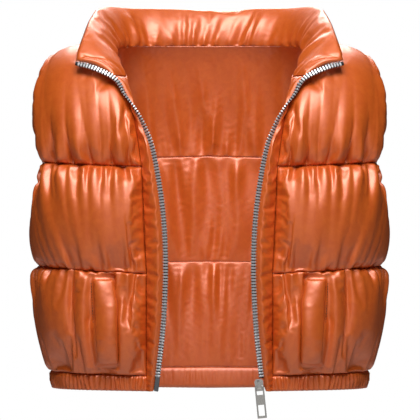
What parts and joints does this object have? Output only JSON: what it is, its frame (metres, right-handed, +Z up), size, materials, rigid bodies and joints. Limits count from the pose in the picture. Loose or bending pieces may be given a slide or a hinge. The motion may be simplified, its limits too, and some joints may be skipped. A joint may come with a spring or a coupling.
{
  "type": "puffer vest",
  "caption": "Cropped sleeveless puffer vest with a stand collar, worn open and filled out, in gathered padded tiers, with a zip, welt pockets and a hem band.",
  "frame": {"origin": "the middle of the neck, at the height of the shoulder seams' neck ends, where the wearer's shoulders hold the vest up", "axes": "+Z up, -Y to the front, +X to the viewer's right seen from the front"},
  "size_m": [0.5245, 0.3152, 0.6031],
  "materials": {
    "satin": "satin",
    "zip_tape": "matt",
    "nickel": "polished"
  },
  "bodies": {
    "vest": {"back_top": "satin", "back_middle": "satin", "back_bottom": "satin", "front_left_top": "satin", "front_left_middle": "satin", "front_left_bottom": "satin", "front_right_top": "satin", "front_right_middle": "satin", "front_right_bottom": "satin", "collar": "satin", "hem_left": "satin", "hem_back": "satin", "hem_right": "satin", "band_left": "satin", "band_right": "satin", "welt_left": "satin", "welt_right": "satin", "tape_left": "zip_tape", "tape_right": "zip_tape", "slider": "nickel", "pin": "nickel"},
    "pull_tab": {"pull_tab": "nickel"}
  },
  "joints": [
    {"name": "pull_swing", "type": "hinge", "parent": "vest", "child": "pull_tab", "pos_m": [0.0721, -0.13965, -0.49229], "axis": [-0.9952, 0, -0.0976], "range_deg": [-5, 150]}
  ]
}
